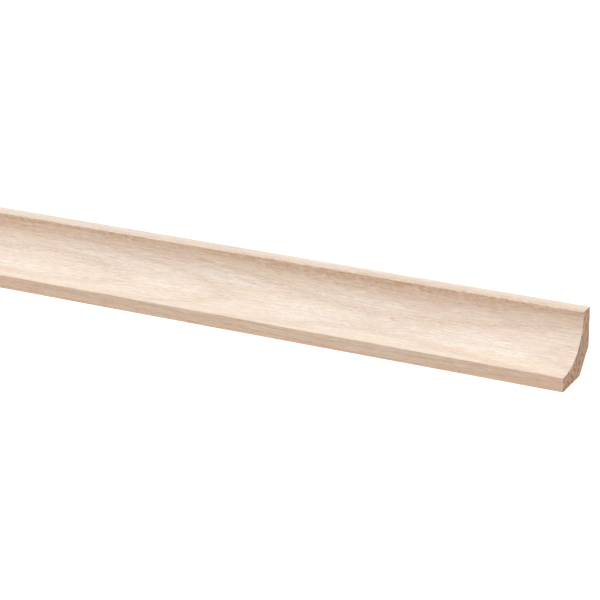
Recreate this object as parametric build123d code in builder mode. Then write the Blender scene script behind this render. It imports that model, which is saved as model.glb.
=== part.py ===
"""Cornice moulding: one length of solid pale hardwood, planed to a cove section.

The moulding stands on its underside, as a length of it stands on a bench before it is
fixed. X runs along the length, -Y is the side that the cove faces, +Y is the back that
goes against the wall or the ceiling, and +Z is up. The origin is the centre of the
footprint, at the height of the underside. Sizes are in millimetres.
"""

import os
from math import sqrt

from build123d import *

# Driving dimensions
length = 2400.0  # stock length, with both ends cut square
projection = 40.0  # from the front lip's face to the back face
drop = 38.0  # from the underside to the top
top_lip = 10.0  # width of the flat along the top, behind the cove
front_lip = 9.0  # height of the flat along the front, below the cove
relief = 13.5  # both legs of the 45 degree cut that takes off the hidden corner
web = 15.0  # thinnest wood, from the bottom of the cove to the 45 degree cut
arris = 0.5  # radius that eases the long edges

# The flat that the moulding stands on, from the front lip's foot to the relief
underside_width = projection - relief

# The cove is one arc from the front lip to the top lip. Its deepest point lies on the
# line that halves its chord squarely, one web thickness short of the 45 degree cut.
# In the section, X runs from front to back and Y runs up from the underside.
cove_start = Vector(0, front_lip)
cove_end = Vector(projection - top_lip, drop)
chord = cove_end - cove_start
chord_middle = (cove_start + cove_end) / 2
inward = Vector(chord.Y, -chord.X).normalized()
middle_to_relief = underside_width - (chord_middle.X - chord_middle.Y)
cove_depth = (middle_to_relief - web * sqrt(2)) / (inward.X - inward.Y)
cove_bottom = chord_middle + inward * cove_depth

# The section stands square to the length, with its front foot half a projection forward
section_plane = Plane(origin=(0, -projection / 2, 0), x_dir=(0, 1, 0), z_dir=(1, 0, 0))

with BuildPart() as moulding:
    with BuildSketch(section_plane) as section:
        with BuildLine():
            ThreePointArc(cove_end, cove_bottom, cove_start)
            Polyline(
                cove_start,
                (0, 0),
                (underside_width, 0),
                (projection, relief),
                (projection, drop),
                cove_end,
            )
        make_face()
        fillet(section.vertices(), radius=arris)
    extrude(amount=length / 2, both=True)

moulding.part.label = "cornice_moulding"

os.makedirs("parts", exist_ok=True)
export_step(moulding.part, "parts/cornice_moulding.step")
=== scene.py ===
"""Looks of a cornice moulding: planed pale hardwood with sawn ends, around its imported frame.

Lengths are in metres, as in the frame. Names that end in _mm hold millimetres.
"""

import logging
from collections.abc import Iterable
from dataclasses import dataclass
from enum import Enum
from math import asin, cos, pi, radians, sin, sqrt, tan

import bmesh
import bpy
from mathutils import Matrix, Vector


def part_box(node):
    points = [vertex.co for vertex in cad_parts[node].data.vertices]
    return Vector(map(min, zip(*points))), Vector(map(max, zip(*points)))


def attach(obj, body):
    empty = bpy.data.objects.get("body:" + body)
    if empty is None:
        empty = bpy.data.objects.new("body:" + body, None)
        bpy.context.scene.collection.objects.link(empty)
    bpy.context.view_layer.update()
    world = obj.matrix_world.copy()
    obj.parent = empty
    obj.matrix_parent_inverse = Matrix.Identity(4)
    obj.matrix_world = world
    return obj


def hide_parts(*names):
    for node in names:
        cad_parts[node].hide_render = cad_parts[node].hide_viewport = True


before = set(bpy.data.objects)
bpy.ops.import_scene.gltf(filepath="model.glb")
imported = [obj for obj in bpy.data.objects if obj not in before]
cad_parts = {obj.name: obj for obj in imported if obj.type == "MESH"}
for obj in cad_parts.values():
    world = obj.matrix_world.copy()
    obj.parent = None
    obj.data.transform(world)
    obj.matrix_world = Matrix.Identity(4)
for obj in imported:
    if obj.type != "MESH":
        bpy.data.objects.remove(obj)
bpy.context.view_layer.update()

log = logging.getLogger("cornice_moulding")

Tree = bpy.types.NodeTree
Socket = bpy.types.NodeSocket
Rgba = tuple[float, float, float, float]

NODE = "cornice_moulding"
BODY = "root"

WHITE: Rgba = (1.0, 1.0, 1.0, 1.0)
# A wave texture repeats this often over one unit at a scale of 1.
WAVES_PER_UNIT = 20.0 / (2.0 * pi)
# The places of a Mix node's two colours and its result, whose names other sockets share.
MIX_UNDER, MIX_OVER, MIX_RESULT = 6, 7, 2


def mm(value: float) -> float:
    """Millimetres as metres."""
    return value / 1000.0


def per_mm(along_mm: float, across_mm: float) -> tuple[float, float, float]:
    """Mapping scale that makes one texture unit this long along X and this wide across it."""
    return (1.0 / mm(along_mm), 1.0 / mm(across_mm), 1.0 / mm(across_mm))


def linear(hex_colour: str) -> Rgba:
    """Turns an sRGB hex colour to the linear values that a shader takes.

    Args:
        hex_colour: six hex digits, such as "e9d3ba".

    Returns:
        The colour as linear red, green and blue, with full alpha.
    """
    channels = [int(hex_colour[i : i + 2], 16) / 255.0 for i in (0, 2, 4)]
    red, green, blue = [c / 12.92 if c <= 0.04045 else ((c + 0.055) / 1.055) ** 2.4 for c in channels]
    return (red, green, blue, 1.0)


def add(tree: Tree, kind: str, inputs: dict | None = None, **settings: object) -> bpy.types.Node:
    """Adds a shader node with its settings, and sets or links its inputs.

    Args:
        tree: the node tree that it goes in.
        kind: the node's type without the ShaderNode prefix.
        inputs: value or source socket for each input, by its name or index.
        **settings: the node's own properties.

    Returns:
        The new node.
    """
    node = tree.nodes.new("ShaderNode" + kind)
    for name, value in settings.items():
        setattr(node, name, value)
    for key, value in (inputs or {}).items():
        if isinstance(value, Socket):
            tree.links.new(value, node.inputs[key])
        else:
            node.inputs[key].default_value = value
    return node


def new_material(name: str) -> tuple[bpy.types.Material, Tree]:
    """Starts an empty node material.

    Args:
        name: the material's name.

    Returns:
        The material and its node tree.
    """
    material = bpy.data.materials.new(name)
    material.use_nodes = True
    material.node_tree.nodes.clear()
    return material, material.node_tree


def laid_over(tree: Tree, base: str, coats: Iterable[tuple[Socket, str]]) -> Socket | Rgba:
    """Lays tints over a base colour, each over what is there before it.

    Args:
        tree: the material's node tree.
        base: the hex colour underneath.
        coats: how much of each tint shows, and the tint's hex colour.

    Returns:
        The finished colour.
    """
    colour: Socket | Rgba = linear(base)
    for share, tint in coats:
        coat = {"Factor": share, MIX_UNDER: colour, MIX_OVER: linear(tint)}
        colour = add(tree, "Mix", coat, data_type="RGBA").outputs[MIX_RESULT]
    return colour


class Cut(Enum):
    """How a face of the moulding was made, and its material's place in the mesh."""

    PLANED = 0
    SAWN = 1


class Ramp(Enum):
    """How a value changes over its range, as the Map Range node's interpolation."""

    SOFT = "SMOOTHSTEP"
    STRAIGHT = "LINEAR"


@dataclass(frozen=True)
class GrowthRings:
    """Growth rings of a flat-sawn board, as one solid figure that every face cuts through.

    The pith lies outside the section, on the side that the cove opens to. It runs a little
    out of line with the moulding and bends slowly, which draws long arches in the cove: one
    pointing right about 220 mm from the right-hand end, and one opening right at that end.
    The bends come at uneven lengths, about 480 mm there and up to 800 mm further along. The
    wood nearest the pith is heartwood, which shows in the upper cove and the top lip. Its
    browner tone is partly real heartwood and partly painted shade of the upper cove.
    """

    pith_distance_mm: float = 76.2
    pith_angle_deg: float = 128.0
    section_middle_mm: tuple[float, float] = (4.0, 16.0)
    spacing_mm: float = 4.0
    late_sharpness: float = 6.0

    # Distances from the pith at which the heartwood, with its painted shade, starts to fade and is gone
    heart_and_painted_shade_mm: tuple[float, float] = (65.0, 72.5)

    # The bends are a cosine along X that starts at bend_middle_mm. The uneven values push it
    # on and hold it back in turn, so that the bends aren't all of one length.
    bend_mm: float = 4.5
    bend_length_mm: float = 605.0
    bend_uneven_turn: float = 1.3
    bend_uneven_rate: float = 0.2
    bend_middle_mm: float = 1080.0

    # The wander of the grain is smaller and has no pattern
    wander_mm: float = 2.0
    wander_length_mm: float = 110.0
    wander_width_mm: float = 24.0
    wander_roughness: float = 0.45

    def outward(self) -> tuple[float, float]:
        """The direction from the section to the pith, as its parts along Y and Z."""
        angle = radians(self.pith_angle_deg)
        return cos(angle), sin(angle)

    def bend(self, tree: Tree, place: Socket, share: float) -> Socket:
        """Adds the slow bends of the pith along the moulding.

        Args:
            tree: the material's node tree.
            place: Object coordinates.
            share: how much of the bends is taken.

        Returns:
            How far the wood is moved, as a vector.
        """
        turn_per_metre = 2.0 * pi / mm(self.bend_length_mm)
        start = -turn_per_metre * mm(self.bend_middle_mm)
        along = add(tree, "SeparateXYZ", {0: place}).outputs["X"]
        phase = add(
            tree, "Math", {0: along, 1: turn_per_metre, 2: start}, operation="MULTIPLY_ADD"
        ).outputs[0]
        slower = add(tree, "Math", {0: phase, 1: self.bend_uneven_rate}, operation="MULTIPLY")
        ebb = add(tree, "Math", {0: slower.outputs[0]}, operation="SINE")
        uneven = add(
            tree,
            "Math",
            {0: ebb.outputs[0], 1: self.bend_uneven_turn, 2: phase},
            operation="MULTIPLY_ADD",
        )
        swing = add(tree, "Math", {0: uneven.outputs[0]}, operation="COSINE")
        out_y, out_z = self.outward()
        reach = mm(self.bend_mm) * share
        furthest = (0.0, reach * out_y, reach * out_z)
        return add(
            tree, "VectorMath", {0: furthest, "Scale": swing.outputs[0]}, operation="SCALE"
        ).outputs[0]

    def warped(self, tree: Tree, place: Socket, bend_share: float = 1.0) -> Socket:
        """Moves the object's coordinates by the slow bends and the wander of the grain.

        Args:
            tree: the material's node tree.
            place: Object coordinates.
            bend_share: how much of the slow bends they follow.

        Returns:
            The moved coordinates.
        """
        stretched = add(
            tree, "Mapping", {0: place, "Scale": per_mm(self.wander_length_mm, self.wander_width_mm)}
        )
        wander = add(
            tree,
            "TexNoise",
            {
                "Vector": stretched.outputs[0],
                "Scale": 1.0,
                "Detail": 2.0,
                "Roughness": self.wander_roughness,
            },
        )
        centred = add(
            tree, "VectorMath", {0: wander.outputs["Color"], 1: (0.5, 0.5, 0.5)}, operation="SUBTRACT"
        )
        sway = (0.0, mm(self.wander_mm), mm(self.wander_mm))
        shift = add(
            tree,
            "VectorMath",
            {0: centred.outputs[0], 1: sway, 2: self.bend(tree, place, bend_share)},
            operation="MULTIPLY_ADD",
        )
        return add(tree, "VectorMath", {0: place, 1: shift.outputs[0]}, operation="ADD").outputs[0]

    def from_pith(self, tree: Tree, place: Socket) -> Socket:
        """Centres the coordinates on the pith and drops their length.

        Args:
            tree: the material's node tree.
            place: Object coordinates, plain or warped.

        Returns:
            The way from the pith, across the grain.
        """
        middle_y_mm, middle_z_mm = self.section_middle_mm
        out_y, out_z = self.outward()
        pith_y = mm(middle_y_mm + self.pith_distance_mm * out_y)
        pith_z = mm(middle_z_mm + self.pith_distance_mm * out_z)
        centred = add(
            tree, "Mapping", {0: place, "Location": (0.0, -pith_y, -pith_z), "Scale": (0.0, 1.0, 1.0)}
        )
        return centred.outputs[0]

    def late_wood(self, tree: Tree, place: Socket) -> Socket:
        """Adds the rings: 0 in early wood, rising softly to 1 in each year's late wood.

        Args:
            tree: the material's node tree.
            place: Object coordinates.

        Returns:
            The share of late wood.
        """
        wave = add(
            tree,
            "TexWave",
            {
                "Vector": self.from_pith(tree, self.warped(tree, place)),
                "Scale": 1.0 / (mm(self.spacing_mm) * WAVES_PER_UNIT),
                "Distortion": 0.0,
            },
            wave_type="RINGS",
            rings_direction="X",
            wave_profile="SIN",
        )
        return add(
            tree, "Math", {0: wave.outputs["Fac"], 1: self.late_sharpness}, operation="POWER"
        ).outputs[0]

    def heart_and_painted_shade(self, tree: Tree, place: Socket) -> Socket:
        """Adds the heartwood, which is also painted shade in the upper cove: 1 near the pith,
        falling softly to 0 in the sapwood.

        Args:
            tree: the material's node tree.
            place: Object coordinates.

        Returns:
            The share of heartwood and of painted shade.
        """
        way = self.from_pith(tree, place)
        radius = add(tree, "VectorMath", {0: way}, operation="LENGTH").outputs["Value"]
        inner_mm, outer_mm = self.heart_and_painted_shade_mm
        return add(
            tree,
            "MapRange",
            {
                "Value": radius,
                "From Min": mm(inner_mm),
                "From Max": mm(outer_mm),
                "To Min": 1.0,
                "To Max": 0.0,
            },
            interpolation_type=Ramp.SOFT.value,
        ).outputs[0]


@dataclass(frozen=True)
class GrainLayer:
    """One layer of the wood's figure: a tint that shows where a noise is high.

    The size is one wave of the noise, along and across the grain. The noise range is where
    the tint starts to show and where it shows with its whole share. The start slides the
    noise along the moulding.
    """

    tint: str
    size_mm: tuple[float, float]
    noise: tuple[float, float]
    share: float
    detail: float = 2.0
    roughness: float = 0.55
    start_mm: float = 0.0
    ramp: Ramp = Ramp.SOFT

    def factor(self, tree: Tree, place: Socket) -> Socket:
        """Adds the noise, drawn out to the layer's size, and its range.

        Args:
            tree: the material's node tree.
            place: the coordinates that it reads.

        Returns:
            How much of the tint shows, from 0 to the layer's share.
        """
        length_mm, width_mm = self.size_mm
        drawn_out = add(
            tree,
            "Mapping",
            {
                0: place,
                "Location": (self.start_mm / length_mm, 0.0, 0.0),
                "Scale": per_mm(length_mm, width_mm),
            },
        )
        noise = add(
            tree,
            "TexNoise",
            {
                "Vector": drawn_out.outputs[0],
                "Scale": 1.0,
                "Detail": self.detail,
                "Roughness": self.roughness,
            },
        )
        low, high = self.noise
        return add(
            tree,
            "MapRange",
            {"Value": noise.outputs["Fac"], "From Min": low, "From Max": high, "To Max": self.share},
            interpolation_type=self.ramp.value,
        ).outputs[0]


@dataclass(frozen=True)
class PlanedPaleHardwood:
    """Planed, unfinished pale tropical hardwood, like obeche.

    Cutters leave a dry, matt face. The eye sees a pinkish cream with a slow drift of tone and
    faint blushes of pink and straw, soft streaks, faint arches of late wood, a browner heartwood
    under the top lip that is partly painted shade of the upper cove, and a dense sprinkle of
    short open pores with a little painted sheen between them, as pale flecks.
    """

    rings: GrowthRings = GrowthRings()
    cream: str = "f2eadf"
    late_wood: str = "d9c2ad"
    ring_share: float = 0.52

    # Slow changes of tone
    drift: GrainLayer = GrainLayer(
        "efdccb", size_mm=(150.0, 10.0), noise=(0.38, 0.62), share=0.8, start_mm=873.0
    )
    blush: GrainLayer = GrainLayer(
        "efcdbe", size_mm=(60.0, 9.0), noise=(0.45, 0.63), share=0.4, detail=1.0
    )
    straw: GrainLayer = GrainLayer(
        "f3e7c6", size_mm=(48.0, 8.0), noise=(0.46, 0.64), share=0.36, detail=1.0, start_mm=500.0
    )
    mottle: GrainLayer = GrainLayer("e7d8cb", size_mm=(3.0, 2.0), noise=(0.4, 0.65), share=0.7)

    # The grain's lines
    streaks: GrainLayer = GrainLayer("dbc4ae", size_mm=(60.0, 1.6), noise=(0.46, 0.76), share=0.45)
    threads: GrainLayer = GrainLayer("d8c2ac", size_mm=(26.0, 0.7), noise=(0.44, 0.7), share=0.5)

    # Heartwood, partly painted shade of the upper cove. Its streaks fade to a share just under
    # the top face, so the top lip stays pale: painted light from above on the top face.
    heart_and_painted_shade: str = "dac6ad"
    heart_patches: GrainLayer = GrainLayer(
        "d4ae8e", size_mm=(170.0, 14.0), noise=(0.38, 0.62), share=0.6
    )
    heart_streaks: GrainLayer = GrainLayer(
        "bd8862", size_mm=(70.0, 1.1), noise=(0.47, 0.63), share=0.58
    )
    painted_pale_top_mm: tuple[float, float] = (36.8, 37.8)
    painted_pale_top_share: float = 0.3

    # The pores of the real wood are 0.1 to 0.2 mm wide. They are drawn three times as wide,
    # so that they still show at the size of a pixel, and crowd in the late wood.
    flecks: GrainLayer = GrainLayer("d3b9a3", size_mm=(7.0, 0.6), noise=(0.48, 0.74), share=0.5)
    pores: GrainLayer = GrainLayer(
        "b8957a", size_mm=(2.6, 0.5), noise=(0.55, 0.72), share=0.32, detail=1.0
    )
    early_pores: float = 0.5
    crowding: float = 0.7
    # Painted sheen: pale flecks between the pores, painted into the colour
    painted_sheen: GrainLayer = GrainLayer(
        "fdf4e8", size_mm=(8.0, 0.6), noise=(0.52, 0.74), share=0.6, start_mm=80.0
    )

    # Layers drawn out along the grain follow only a part of the pith's bends
    grain_bend_share: float = 0.2

    # Real fibres are a few hundredths of a millimetre wide. They are drawn more than ten
    # times as wide, so that their relief still shows.
    fibre_length_mm: float = 16.0
    fibre_width_mm: float = 0.45
    relief_mm: float = 0.05
    roughness: float = 0.62
    ior: float = 1.45

    def heartwood_and_painted_shade(self, tree: Tree, place: Socket, grain: Socket) -> tuple[Socket, Socket, Socket]:
        """Adds the heartwood, partly painted shade of the upper cove, and the browner patches and
        streaks in it.

        Args:
            tree: the material's node tree.
            place: Object coordinates.
            grain: the coordinates that follow the grain.

        Returns:
            The shares of heartwood with its painted shade, of patches and of streaks.
        """
        # The heartwood mask: real heartwood, and painted shade in the upper cove
        heart_and_painted_shade = self.rings.heart_and_painted_shade(tree, place)
        height = add(tree, "SeparateXYZ", {0: place}).outputs["Z"]
        # Painted light: the streaks thin out by height under the top face, so the top lip looks paler
        lowest_mm, highest_mm = self.painted_pale_top_mm
        fade = add(
            tree,
            "MapRange",
            {
                "Value": height,
                "From Min": mm(lowest_mm),
                "From Max": mm(highest_mm),
                "To Min": 1.0,
                "To Max": self.painted_pale_top_share,
            },
        )
        streaked = add(tree, "Math", {0: heart_and_painted_shade, 1: fade.outputs[0]}, operation="MULTIPLY").outputs[0]
        patches, streaks = [
            add(tree, "Math", {0: layer.factor(tree, grain), 1: share}, operation="MULTIPLY").outputs[0]
            for layer, share in ((self.heart_patches, heart_and_painted_shade), (self.heart_streaks, streaked))
        ]
        return heart_and_painted_shade, patches, streaks

    def open_pores(self, tree: Tree, grain: Socket, ring: Socket) -> Socket:
        """Adds the pores, which crowd in the late wood.

        Args:
            tree: the material's node tree.
            grain: the coordinates that follow the grain.
            ring: the share of late wood.

        Returns:
            How much of the pores' tint shows, and 0 between the pores.
        """
        crowd = add(
            tree, "Math", {0: ring, 1: self.crowding, 2: self.early_pores}, operation="MULTIPLY_ADD"
        )
        scattered = self.pores.factor(tree, grain)
        return add(tree, "Math", {0: scattered, 1: crowd.outputs[0]}, operation="MULTIPLY").outputs[0]

    def raised_fibres(self, tree: Tree, grain: Socket, pores: Socket) -> Socket:
        """Adds the relief of the planed face: fine fibres, and pores below them.

        Args:
            tree: the material's node tree.
            grain: the coordinates that follow the grain.
            pores: how much the pores show.

        Returns:
            The shading normal.
        """
        drawn_out = add(
            tree, "Mapping", {0: grain, "Scale": per_mm(self.fibre_length_mm, self.fibre_width_mm)}
        )
        fibres = add(tree, "TexNoise", {"Vector": drawn_out.outputs[0], "Scale": 1.0, "Detail": 2.0})
        height = add(tree, "Math", {0: fibres.outputs["Fac"], 1: pores}, operation="SUBTRACT")
        return add(
            tree, "Bump", {"Height": height.outputs[0], "Distance": mm(self.relief_mm), "Strength": 1.0}
        ).outputs[0]

    def material(self) -> bpy.types.Material:
        """Builds the material of the planed faces.

        Returns:
            The material.
        """
        made, tree = new_material("planed_pale_hardwood")
        place = add(tree, "TexCoord").outputs["Object"]
        grain = self.rings.warped(tree, place, self.grain_bend_share)
        ring = self.rings.late_wood(tree, place)
        late = add(tree, "Math", {0: ring, 1: self.ring_share}, operation="MULTIPLY").outputs[0]
        heart_and_painted_shade, patches, heart_streaks = self.heartwood_and_painted_shade(tree, place, grain)
        pores = self.open_pores(tree, grain, ring)
        coats = (
            # Heartwood tint, partly painted shade of the upper cove
            (heart_and_painted_shade, self.heart_and_painted_shade),
            (self.drift.factor(tree, grain), self.drift.tint),
            (self.blush.factor(tree, grain), self.blush.tint),
            (self.straw.factor(tree, grain), self.straw.tint),
            (patches, self.heart_patches.tint),
            (heart_streaks, self.heart_streaks.tint),
            (self.streaks.factor(tree, grain), self.streaks.tint),
            (self.threads.factor(tree, grain), self.threads.tint),
            (late, self.late_wood),
            (self.mottle.factor(tree, grain), self.mottle.tint),
            (self.flecks.factor(tree, grain), self.flecks.tint),
            (pores, self.pores.tint),
            # Painted sheen, as pale flecks over the pores
            (self.painted_sheen.factor(tree, grain), self.painted_sheen.tint),
        )
        shader = add(
            tree,
            "BsdfPrincipled",
            {
                "Base Color": laid_over(tree, self.cream, coats),
                "Roughness": self.roughness,
                "IOR": self.ior,
                "Normal": self.raised_fibres(tree, grain, pores),
            },
        )
        add(tree, "OutputMaterial", {"Surface": shader.outputs[0]})
        return made


@dataclass(frozen=True)
class SawnEndGrain:
    """Cross-cut end grain of the same hardwood.

    The cut fibres stand on end and drink the light, so the end is browner and rougher. It
    shows the rings as arcs, dusty grey and brown patches, the pores as dark dots and the
    shallow scores of the saw, as arcs round a blade whose middle stood in front of the
    section and a little below it.
    """

    rings: GrowthRings = GrowthRings()
    early_wood: str = "d9bea8"
    late_wood: str = "b3927c"
    dust: GrainLayer = GrainLayer(
        "bcb1a7",
        size_mm=(14.0, 14.0),
        noise=(0.4, 0.62),
        share=0.7,
        roughness=0.5,
        ramp=Ramp.STRAIGHT,
    )
    blots: GrainLayer = GrainLayer(
        "9b755e",
        size_mm=(3.4, 3.4),
        noise=(0.46, 0.62),
        share=0.75,
        detail=3.0,
        roughness=0.5,
        ramp=Ramp.STRAIGHT,
    )

    # The pores are drawn about twice as wide as in the real wood, and a little further apart,
    # so that they show. Their radii, to where the dark middle ends and to the faded rim, are
    # shares of the spacing.
    pore: str = "7d5f49"
    pore_spacing_mm: float = 0.8
    pore_radii: tuple[float, float] = (0.12, 0.3)
    pore_share: float = 0.6

    score_spacing_mm: float = 1.3
    score_waver: float = 1.5
    blade_middle_mm: tuple[float, float] = (-125.0, -10.0)
    relief_mm: float = 0.12
    roughness: float = 0.85
    ior: float = 1.5

    def dots(self, tree: Tree, place: Socket) -> Socket:
        """Adds the cut pores, which run along the moulding.

        Args:
            tree: the material's node tree.
            place: Object coordinates.

        Returns:
            How dark the pore is, and 0 between the pores.
        """
        flat = add(tree, "Mapping", {0: place, "Scale": (0.0, 1.0, 1.0)})
        cells = add(
            tree,
            "TexVoronoi",
            {"Vector": flat.outputs[0], "Scale": 1.0 / mm(self.pore_spacing_mm), "Randomness": 1.0},
        )
        middle, rim = self.pore_radii
        return add(
            tree,
            "MapRange",
            {
                "Value": cells.outputs["Distance"],
                "From Min": middle,
                "From Max": rim,
                "To Min": self.pore_share,
                "To Max": 0.0,
            },
        ).outputs[0]

    def saw_scores(self, tree: Tree, place: Socket, dots: Socket) -> Socket:
        """Adds the relief of the sawn end: the saw's scores, and pores below them.

        Args:
            tree: the material's node tree.
            place: Object coordinates.
            dots: how dark the pores are.

        Returns:
            The shading normal.
        """
        blade_y_mm, blade_z_mm = self.blade_middle_mm
        to_blade = (0.0, -mm(blade_y_mm), -mm(blade_z_mm))
        round_blade = add(tree, "Mapping", {0: place, "Location": to_blade})
        scores = add(
            tree,
            "TexWave",
            {
                "Vector": round_blade.outputs[0],
                "Scale": 1.0 / (mm(self.score_spacing_mm) * WAVES_PER_UNIT),
                "Distortion": self.score_waver,
                "Detail": 2.0,
            },
            wave_type="RINGS",
            rings_direction="X",
        )
        height = add(tree, "Math", {0: scores.outputs["Fac"], 1: dots}, operation="SUBTRACT")
        return add(
            tree, "Bump", {"Height": height.outputs[0], "Distance": mm(self.relief_mm)}
        ).outputs[0]

    def material(self) -> bpy.types.Material:
        """Builds the material of the sawn ends.

        Returns:
            The material.
        """
        made, tree = new_material("sawn_end_grain")
        place = add(tree, "TexCoord").outputs["Object"]
        dots = self.dots(tree, place)
        coats = (
            (self.rings.late_wood(tree, place), self.late_wood),
            (self.dust.factor(tree, place), self.dust.tint),
            (self.blots.factor(tree, place), self.blots.tint),
            (dots, self.pore),
        )
        shader = add(
            tree,
            "BsdfPrincipled",
            {
                "Base Color": laid_over(tree, self.early_wood, coats),
                "Roughness": self.roughness,
                "IOR": self.ior,
                "Normal": self.saw_scores(tree, place, dots),
            },
        )
        add(tree, "OutputMaterial", {"Surface": shader.outputs[0]})
        return made


@dataclass
class CoveSection:
    """The moulding's section: X from front to back, Y up from the underside."""

    projection: float
    drop: float
    top_lip: float = mm(10.0)
    front_lip: float = mm(9.0)
    relief: float = mm(13.5)
    web: float = mm(15.0)
    arris: float = mm(0.5)

    def cove(self) -> tuple[Vector, float]:
        """Finds the arc of the cove, which leaves one web of wood before the relief.

        Returns:
            Its centre, and the angle that it turns through.
        """
        start = Vector((0.0, self.front_lip))
        end = Vector((self.projection - self.top_lip, self.drop))
        chord = end - start
        middle = (start + end) / 2.0
        inward = Vector((chord.y, -chord.x)).normalized()
        to_relief = (self.projection - self.relief) - (middle.x - middle.y)
        depth = (to_relief - self.web * sqrt(2.0)) / (inward.x - inward.y)
        half_chord = chord.length / 2.0
        radius = (depth**2 + half_chord**2) / (2.0 * depth)
        centre = middle - inward * (radius - depth)
        return centre, 2.0 * asin(half_chord / radius)

    def corners(self) -> list[Vector]:
        """Gives the straight part of the outline.

        Returns:
            Its corners, from the front lip round the back to the top lip.
        """
        return [
            Vector((0.0, self.front_lip)),
            Vector((0.0, 0.0)),
            Vector((self.projection - self.relief, 0.0)),
            Vector((self.projection, self.relief)),
            Vector((self.projection, self.drop)),
            Vector((self.projection - self.top_lip, self.drop)),
        ]


@dataclass
class CorniceMoulding:
    """One length of moulding, planed along its faces and sawn square at its ends."""

    section: CoveSection
    length: float
    cove_steps: int = 40
    arris_steps: int = 4
    stations: int = 48
    tolerance: float = mm(0.01)

    def outline(self, mesh: bmesh.types.BMesh) -> bmesh.types.BMFace:
        """Draws the section as one face at the left-hand end.

        Args:
            mesh: the empty mesh that it goes in.

        Returns:
            The face.
        """
        half_length = self.length / 2.0
        half_projection = self.section.projection / 2.0

        def placed(point: Vector) -> Vector:
            """A point of the section in the row frame."""
            return Vector((-half_length, point.x - half_projection, point.y))

        corners = [mesh.verts.new(placed(point)) for point in self.section.corners()]
        for first, second in zip(corners, corners[1:]):
            mesh.edges.new((first, second))
        centre, turn = self.section.cove()
        bmesh.ops.spin(
            mesh,
            geom=[corners[0]],
            cent=placed(centre),
            axis=Vector((1.0, 0.0, 0.0)),
            angle=turn,
            steps=self.cove_steps,
        )
        bmesh.ops.remove_doubles(mesh, verts=mesh.verts[:], dist=self.tolerance)
        made = bmesh.ops.contextual_create(mesh, geom=mesh.edges[:])
        return made["faces"][0]

    def ease_arrises(self, mesh: bmesh.types.BMesh) -> None:
        """Rounds the long edges with the section's radius, whatever angle they turn through.

        Args:
            mesh: the squared-up moulding.
        """
        smallest_turn = radians(30.0)
        long_edges = [
            edge
            for edge in mesh.edges
            if edge.calc_length() > self.length / 2.0 and edge.calc_face_angle() > smallest_turn
        ]
        for edge in long_edges:
            bmesh.ops.bevel(
                mesh,
                geom=[edge],
                offset=self.section.arris * tan(edge.calc_face_angle() / 2.0),
                offset_type="OFFSET",
                segments=self.arris_steps,
                profile=0.5,
                affect="EDGES",
                material=-1,
            )

    def cut_stations(self, mesh: bmesh.types.BMesh) -> None:
        """Cuts the long faces into even lengths, so that none is a sliver.

        Args:
            mesh: the moulding with its arrises.
        """
        for station in range(1, self.stations):
            bmesh.ops.bisect_plane(
                mesh,
                geom=mesh.verts[:] + mesh.edges[:] + mesh.faces[:],
                plane_co=Vector((self.length * (station / self.stations - 0.5), 0.0, 0.0)),
                plane_no=Vector((1.0, 0.0, 0.0)),
            )

    def mark_cuts(self, mesh: bmesh.types.BMesh) -> None:
        """Tells the sawn ends from the planed faces, and shades the narrow faces as curves.

        The saw leaves a crisp edge, so the ends' outlines are marked sharp. Without that, the
        cove's shading would turn towards the end over the last faces.

        Args:
            mesh: the finished shape.
        """
        widest_curved_face = mm(2.0)
        least_end_normal = 0.9
        for face in mesh.faces:
            on_end = abs(face.normal.x) > least_end_normal
            face.material_index = (Cut.SAWN if on_end else Cut.PLANED).value
            across = [
                edge.calc_length()
                for edge in face.edges
                if abs(edge.verts[0].co.x - edge.verts[1].co.x) < self.tolerance
            ]
            face.smooth = not on_end and max(across) < widest_curved_face
        for edge in mesh.edges:
            cuts = {face.material_index for face in edge.link_faces}
            edge.smooth = len(cuts) == 1

    def build(self) -> bpy.types.Object:
        """Builds the moulding's mesh in the row frame.

        Returns:
            The object, at the origin.
        """
        mesh = bmesh.new()
        end_face = self.outline(mesh)
        pushed = bmesh.ops.extrude_face_region(mesh, geom=[end_face], use_keep_orig=True)
        far_end = [item for item in pushed["geom"] if isinstance(item, bmesh.types.BMVert)]
        bmesh.ops.translate(mesh, verts=far_end, vec=Vector((self.length, 0.0, 0.0)))
        bmesh.ops.recalc_face_normals(mesh, faces=mesh.faces[:])
        self.ease_arrises(mesh)
        self.cut_stations(mesh)
        self.mark_cuts(mesh)
        data = bpy.data.meshes.new(NODE + "_dressed")
        mesh.to_mesh(data)
        mesh.free()
        made = bpy.data.objects.new(NODE + "_dressed", data)
        bpy.context.scene.collection.objects.link(made)
        return made

    def dress(self, piece: bpy.types.Object) -> None:
        """Gives the moulding its materials, in the order of the cuts, and its place in the frame.

        Args:
            piece: the moulding's object.
        """
        piece.data.materials.append(PlanedPaleHardwood().material())
        piece.data.materials.append(SawnEndGrain().material())
        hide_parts(NODE)
        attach(piece, BODY)


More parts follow.
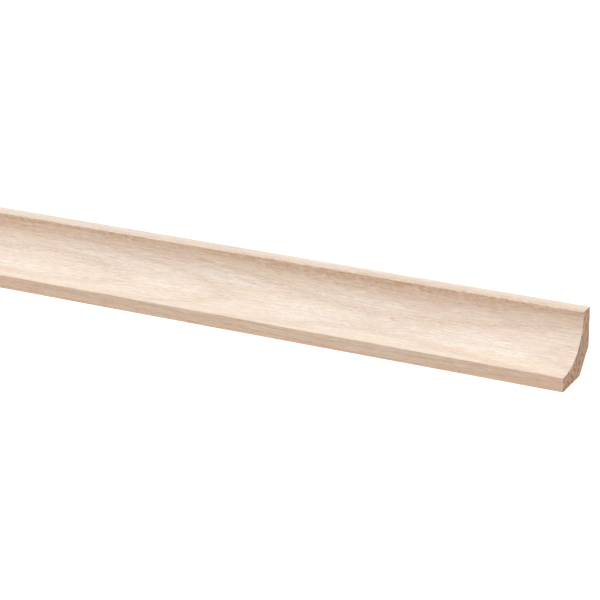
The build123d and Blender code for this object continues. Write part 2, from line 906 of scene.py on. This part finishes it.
@dataclass
class PhotoCamera:
    """The photograph's camera, placed by the corner that it shows nearest.

    The corner is the foot of the front lip at the right-hand end. Its place is given as the
    camera sees it: to the right, up and ahead.
    """

    corner: Vector
    yaw_deg: float = 27.12
    pitch_deg: float = 21.53
    roll_deg: float = -0.57
    lens_mm: float = 141.4
    sensor_mm: float = 36.0
    corner_seen_mm: tuple[float, float, float] = (147.88, -52.16, 1326.29)

    def build(self) -> bpy.types.Object:
        """Builds the camera and makes it the scene's own.

        Returns:
            The camera.
        """
        yaw, pitch, roll = radians(self.yaw_deg), radians(self.pitch_deg), radians(self.roll_deg)
        ahead = Vector((-sin(yaw) * cos(pitch), cos(yaw) * cos(pitch), -sin(pitch)))
        level = Vector((cos(yaw), sin(yaw), 0.0))
        upright = level.cross(ahead)
        right = level * cos(roll) + upright * sin(roll)
        up = upright * cos(roll) - level * sin(roll)
        seen_right, seen_up, seen_ahead = [mm(value) for value in self.corner_seen_mm]
        data = bpy.data.cameras.new("camera")
        data.lens = self.lens_mm
        data.sensor_width = self.sensor_mm
        camera = bpy.data.objects.new("camera", data)
        place = self.corner - right * seen_right - up * seen_up - ahead * seen_ahead
        turned = Matrix((right, up, -ahead)).transposed().to_4x4()
        camera.matrix_world = Matrix.Translation(place) @ turned
        bpy.context.scene.collection.objects.link(camera)
        bpy.context.scene.camera = camera
        return camera


@dataclass(frozen=True)
class Softbox:
    """One rectangular lamp with a plain diffuser.

    Its strength is how bright it makes a white face at its target, square to it, where 1 is
    white, if the lamp is small for its distance.
    """

    name: str
    size: tuple[float, float]
    place: tuple[float, float, float]
    target: tuple[float, float, float]
    strength: float
    colour: str
    in_gloss: bool = True

    def build(self) -> bpy.types.Object:
        """Builds the lamp, aimed at its target.

        Returns:
            The lamp.
        """
        data = bpy.data.lights.new(self.name, "AREA")
        data.shape = "RECTANGLE"
        data.size, data.size_y = self.size
        data.color = linear(self.colour)[:3]
        place = Vector(self.place)
        away = Vector(self.target) - place
        data.energy = self.strength * pi**2 * away.length_squared
        lamp = bpy.data.objects.new(self.name, data)
        lamp.location = place
        lamp.visible_camera = False
        lamp.visible_glossy = self.in_gloss
        lamp.rotation_euler = away.to_track_quat("-Z", "Y").to_euler()
        bpy.context.scene.collection.objects.link(lamp)
        return lamp


@dataclass
class Studio:
    """A pale floor, an even pale surround and three softboxes.

    The key is a long softbox overhead, a small one stands off the right-hand end, and a low
    one lights the back. The low one is kept out of gloss, where it would brighten the top lip
    at a grazing angle: the surround that shows there is white already.
    """

    key: Softbox = Softbox(
        name="key_softbox",
        size=(4.4, 1.2),
        place=(0.5, -0.85, 2.41),
        target=(0.5, 0.0, 0.0),
        strength=1.3,
        colour="fafcff",
    )
    end: Softbox = Softbox(
        name="end_softbox",
        size=(1.0, 1.0),
        place=(3.5, 0.5, 1.2),
        target=(1.2, 0.0, 0.02),
        strength=0.25,
        colour="fffaf2",
    )
    back: Softbox = Softbox(
        name="back_softbox",
        size=(4.4, 0.6),
        place=(0.0, 3.0, 0.35),
        target=(0.0, 0.02, 0.02),
        strength=0.5,
        colour="fffaf2",
        in_gloss=False,
    )
    surround: str = "fbeee2"
    surround_strength: float = 0.17
    floor_size: float = 30.0
    floor_colour: str = "d6bea9"

    # The floor glows more where the key lights it less, away from the moulding. The key is
    # long in X, so distance along X counts for less.
    floor_glow: tuple[float, float] = (0.72, 1.0)
    glow_reach: tuple[float, float] = (0.3, 2.5)
    glow_along: float = 0.3

    def white_rays(self, tree: Tree) -> Socket:
        """Tells the rays that should meet plain white from the rays that light the moulding.

        Args:
            tree: the node tree.

        Returns:
            1 for camera, glossy and transmission rays, and 0 for the rest.
        """
        path = add(tree, "LightPath")
        white = path.outputs["Is Camera Ray"]
        for kind in ("Is Glossy Ray", "Is Transmission Ray"):
            either = add(tree, "Math", {0: white, 1: path.outputs[kind]}, operation="MAXIMUM")
            white = either.outputs[0]
        return white

    def build_world(self) -> None:
        """Builds the surround: white to the camera and in reflections, softer as light."""
        world = bpy.data.worlds.new("surround")
        bpy.context.scene.world = world
        world.use_nodes = True
        tree = world.node_tree
        tree.nodes.clear()
        soft = {"Color": linear(self.surround), "Strength": self.surround_strength}
        light = add(tree, "Background", soft)
        white = add(tree, "Background", {"Color": WHITE, "Strength": 1.0})
        mixed = add(
            tree, "MixShader", {0: self.white_rays(tree), 1: light.outputs[0], 2: white.outputs[0]}
        )
        add(tree, "OutputWorld", {"Surface": mixed.outputs[0]})

    def floor_paper(self) -> bpy.types.Material:
        """Builds the floor's material: matt paper that glows to the camera and in reflections.

        Returns:
            The material.
        """
        made, tree = new_material("floor_paper")
        paper = add(tree, "BsdfDiffuse", {"Color": linear(self.floor_colour)})
        place = add(tree, "TexCoord").outputs["Object"]
        drawn_in = add(tree, "Mapping", {0: place, "Scale": (self.glow_along, 1.0, 0.0)})
        distance = add(tree, "VectorMath", {0: drawn_in.outputs[0]}, operation="LENGTH")
        near, far = self.glow_reach
        near_glow, far_glow = self.floor_glow
        spread = add(
            tree,
            "MapRange",
            {
                "Value": distance.outputs["Value"],
                "From Min": near,
                "From Max": far,
                "To Min": near_glow,
                "To Max": far_glow,
            },
            interpolation_type=Ramp.SOFT.value,
        )
        glow = add(
            tree, "Math", {0: self.white_rays(tree), 1: spread.outputs[0]}, operation="MULTIPLY"
        )
        shine = add(tree, "Emission", {"Color": WHITE, "Strength": glow.outputs[0]})
        both = add(tree, "AddShader", {0: paper.outputs[0], 1: shine.outputs[0]})
        add(tree, "OutputMaterial", {"Surface": both.outputs[0]})
        return made

    def build_floor(self) -> bpy.types.Object:
        """Builds the floor, which keeps the moulding's shadow.

        Returns:
            The floor.
        """
        mesh = bmesh.new()
        bmesh.ops.create_grid(mesh, x_segments=1, y_segments=1, size=self.floor_size / 2.0)
        data = bpy.data.meshes.new("floor")
        mesh.to_mesh(data)
        mesh.free()
        data.materials.append(self.floor_paper())
        floor = bpy.data.objects.new("floor", data)
        bpy.context.scene.collection.objects.link(floor)
        return floor


def main() -> None:
    """Builds the moulding, the studio and the camera."""
    logging.basicConfig(level=logging.INFO, format="%(name)s: %(message)s")
    low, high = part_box(NODE)
    section = CoveSection(projection=high.y - low.y, drop=high.z - low.z)
    moulding = CorniceMoulding(section, length=high.x - low.x)
    piece = moulding.build()
    moulding.dress(piece)
    log.info("%s: %d faces", piece.name, len(piece.data.polygons))

    studio = Studio()
    studio.build_world()
    log.info("%s", studio.build_floor().name)
    for softbox in (studio.key, studio.end, studio.back):
        log.info("%s", softbox.build().name)
    camera = PhotoCamera(corner=Vector((high.x, low.y, low.z))).build()
    log.info("%s: lens %.1f mm", camera.name, camera.data.lens)

    bpy.context.scene.view_settings.view_transform = "Standard"


if __name__ == "__main__":
    main()
